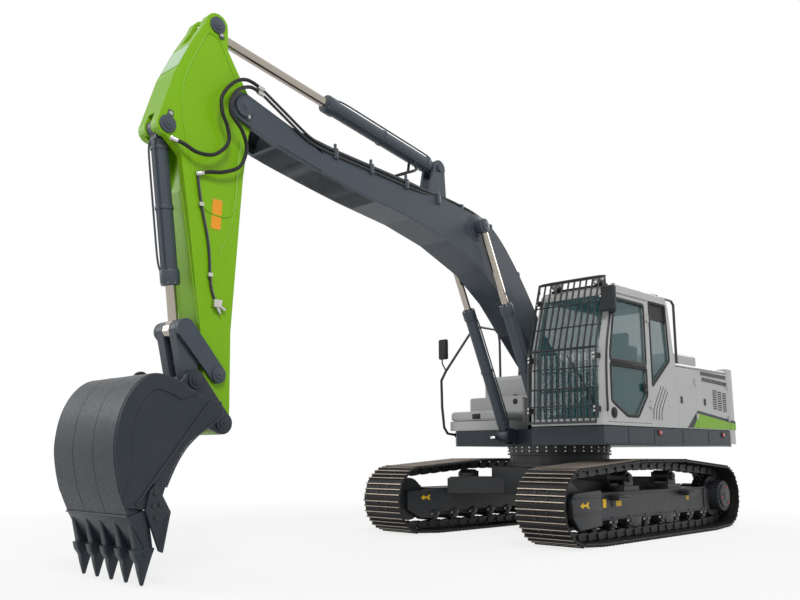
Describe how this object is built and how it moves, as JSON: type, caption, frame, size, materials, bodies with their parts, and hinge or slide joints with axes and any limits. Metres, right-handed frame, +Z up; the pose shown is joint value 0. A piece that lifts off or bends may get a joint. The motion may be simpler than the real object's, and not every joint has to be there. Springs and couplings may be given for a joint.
{
  "type": "crawler excavator",
  "caption": "Tracked hydraulic excavator with a swinging upper structure, guarded cab, gooseneck boom, arm and toothed bucket.",
  "frame": {"origin": "on the ground, at the middle of the machine's box", "axes": "-Y to the front, +X to the cab's side (the machine's left), +Z up"},
  "size_m": [2.98, 9.3332, 4.913],
  "materials": {
    "dark_paint": "semi-gloss",
    "lime_paint": "semi-gloss",
    "grey_paint": "semi-gloss",
    "navy_paint": "semi-gloss",
    "track_steel": "worn",
    "black_steel": "semi-gloss",
    "chrome": "polished",
    "glass": "tinted",
    "rubber": "matte",
    "trim": "matte",
    "iron": "matte"
  },
  "bodies": {
    "undercarriage": {"car_body": "black_steel", "track_frame_left": "black_steel", "track_frame_right": "black_steel", "track_left": "track_steel", "track_right": "track_steel", "idler_left": "black_steel", "idler_right": "black_steel", "sprocket_left": "black_steel", "sprocket_right": "black_steel"},
    "upper": {"swing_bearing": "black_steel", "swing_frame": "navy_paint", "counterweight": "grey_paint", "hood_frame": "black_steel", "hood_top": "grey_paint", "right_side_panel": "grey_paint", "engine": "iron", "fuel_tank": "grey_paint", "hydraulic_tank": "grey_paint", "tool_box": "grey_paint", "cab_shell": "grey_paint", "windshield": "glass", "right_window": "glass", "quarter_window": "glass", "rear_window": "glass", "seat": "trim", "left_console": "trim", "right_console": "trim", "cab_guard": "navy_paint", "roof_lights": "black_steel", "left_mirror": "black_steel", "right_handrail": "black_steel", "rear_handrail": "black_steel"},
    "cab_door": {"cab_door": "grey_paint", "door_glass_upper": "glass", "door_glass_lower": "glass"},
    "engine_hood": {"engine_hood": "grey_paint"},
    "left_air_door": {"left_air_door": "grey_paint"},
    "left_engine_door": {"left_engine_door": "grey_paint"},
    "right_pump_door": {"right_pump_door": "grey_paint"},
    "tool_box_lid": {"tool_box_lid": "grey_paint"},
    "boom": {"boom": "dark_paint"},
    "boom_barrel_left": {"boom_cylinder_barrel_left": "dark_paint"},
    "boom_rod_left": {"boom_cylinder_rod_left": "chrome"},
    "boom_barrel_right": {"boom_cylinder_barrel_right": "dark_paint"},
    "boom_rod_right": {"boom_cylinder_rod_right": "chrome"},
    "arm_barrel": {"arm_cylinder_barrel": "dark_paint"},
    "arm_rod": {"arm_cylinder_rod": "chrome"},
    "arm": {"arm": "lime_paint", "arm_hose_bucket": "rubber", "arm_hose_auxiliary": "rubber"},
    "bucket_barrel": {"bucket_cylinder_barrel": "dark_paint"},
    "bucket_rod": {"bucket_cylinder_rod": "chrome"},
    "rocker": {"bucket_rocker": "dark_paint"},
    "bucket": {"bucket_shell": "navy_paint", "bucket_cutting_edge": "navy_paint", "side_cutter_left": "navy_paint", "side_cutter_right": "navy_paint"},
    "link": {"bucket_link": "dark_paint"}
  },
  "joints": [
    {"name": "swing", "type": "hinge", "parent": "undercarriage", "child": "upper", "pos_m": [0, 1.825, 1], "axis": [0, 0, 1], "continuous": true},
    {"name": "boom_lift", "type": "hinge", "parent": "upper", "child": "boom", "pos_m": [0, 1.765, 1.75], "axis": [-1, 0, 0], "range_deg": [-57, 41]},
    {"name": "arm_swing", "type": "hinge", "parent": "boom", "child": "arm", "pos_m": [0, -3.43245, 4.09019], "axis": [1, 0, 0], "range_deg": [-94, 37]},
    {"name": "bucket_curl", "type": "hinge", "parent": "arm", "child": "bucket", "pos_m": [0, -3.53322, 1.21896], "axis": [1, 0, 0], "range_deg": [-5, 165]},
    {"name": "boom_barrel_turn_left", "type": "hinge", "parent": "upper", "child": "boom_barrel_left", "pos_m": [0.29, 1.075, 1.2], "axis": [-1, 0, 0], "range_deg": [-60, 45]},
    {"name": "boom_rod_stroke_left", "type": "slide", "parent": "boom_barrel_left", "child": "boom_rod_left", "axis": [0, -0.4305, 0.9026], "range_m": [-0.84, 0.62]},
    {"name": "boom_barrel_turn_right", "type": "hinge", "parent": "upper", "child": "boom_barrel_right", "pos_m": [-0.29, 1.075, 1.2], "axis": [-1, 0, 0], "range_deg": [-60, 45]},
    {"name": "boom_rod_stroke_right", "type": "slide", "parent": "boom_barrel_right", "child": "boom_rod_right", "axis": [0, -0.4305, 0.9026], "range_m": [-0.84, 0.62]},
    {"name": "arm_barrel_turn", "type": "hinge", "parent": "boom", "child": "arm_barrel", "pos_m": [0, -0.60487, 4.23946], "axis": [1, 0, 0], "range_deg": [-6, 6]},
    {"name": "arm_rod_stroke", "type": "slide", "parent": "arm_barrel", "child": "arm_rod", "axis": [0, -0.9843, 0.1765], "range_m": [-1.12, 0.46]},
    {"name": "bucket_barrel_turn", "type": "hinge", "parent": "arm", "child": "bucket_barrel", "pos_m": [0, -4.17293, 3.71893], "axis": [1, 0, 0], "range_deg": [-12, 4]},
    {"name": "bucket_rod_stroke", "type": "slide", "parent": "bucket_barrel", "child": "bucket_rod", "axis": [0, 0.1453, -0.9894], "range_m": [-0.06, 1.16]},
    {"name": "rocker_turn", "type": "hinge", "parent": "arm", "child": "rocker", "pos_m": [0, -3.58897, 1.62616], "axis": [1, 0, 0], "range_deg": [-10, 130]},
    {"name": "link_turn", "type": "hinge", "parent": "bucket", "child": "link", "pos_m": [0, -3.82222, 1.56396], "axis": [1, 0, 0], "range_deg": [-130, 10]},
    {"name": "cab_door_swing", "type": "hinge", "parent": "upper", "child": "cab_door", "pos_m": [1.375, 1.775, 1.9], "axis": [0, 0, 1], "range_deg": [0, 165]},
    {"name": "tool_lid_open", "type": "hinge", "parent": "upper", "child": "tool_box_lid", "pos_m": [0, 1.6547, 1.53], "axis": [-1, 0, 0], "range_deg": [0, 75]},
    {"name": "left_air_door_swing", "type": "hinge", "parent": "upper", "child": "left_air_door", "pos_m": [1.372, 3.025, 1.7], "axis": [0, 0, 1], "range_deg": [0, 100]},
    {"name": "left_engine_door_swing", "type": "hinge", "parent": "upper", "child": "left_engine_door", "pos_m": [1.372, 4.02, 1.7], "axis": [0, 0, 1], "range_deg": [0, 100]},
    {"name": "right_pump_door_swing", "type": "hinge", "parent": "upper", "child": "right_pump_door", "pos_m": [-1.372, 4.02, 1.7], "axis": [0, 0, -1], "range_deg": [0, 100]},
    {"name": "engine_hood_open", "type": "hinge", "parent": "upper", "child": "engine_hood", "pos_m": [0, 3.275, 2.125], "axis": [1, 0, 0], "range_deg": [0, 65]}
  ],
  "couplings": [
    {"joint": "boom_barrel_turn_left", "follows": "boom_lift", "ratio": 0.97},
    {"joint": "boom_rod_stroke_left", "follows": "boom_lift", "m_per_rad": 0.81},
    {"joint": "boom_barrel_turn_right", "follows": "boom_lift", "ratio": 0.97},
    {"joint": "boom_rod_stroke_right", "follows": "boom_lift", "m_per_rad": 0.81},
    {"joint": "arm_barrel_turn", "follows": "arm_swing", "ratio": 0.02},
    {"joint": "arm_rod_stroke", "follows": "arm_swing", "m_per_rad": 0.65},
    {"joint": "bucket_barrel_turn", "follows": "bucket_curl", "ratio": -0.04},
    {"joint": "bucket_rod_stroke", "follows": "bucket_curl", "m_per_rad": 0.385},
    {"joint": "rocker_turn", "follows": "bucket_curl", "ratio": 0.72},
    {"joint": "link_turn", "follows": "bucket_curl", "ratio": -0.74}
  ]
}
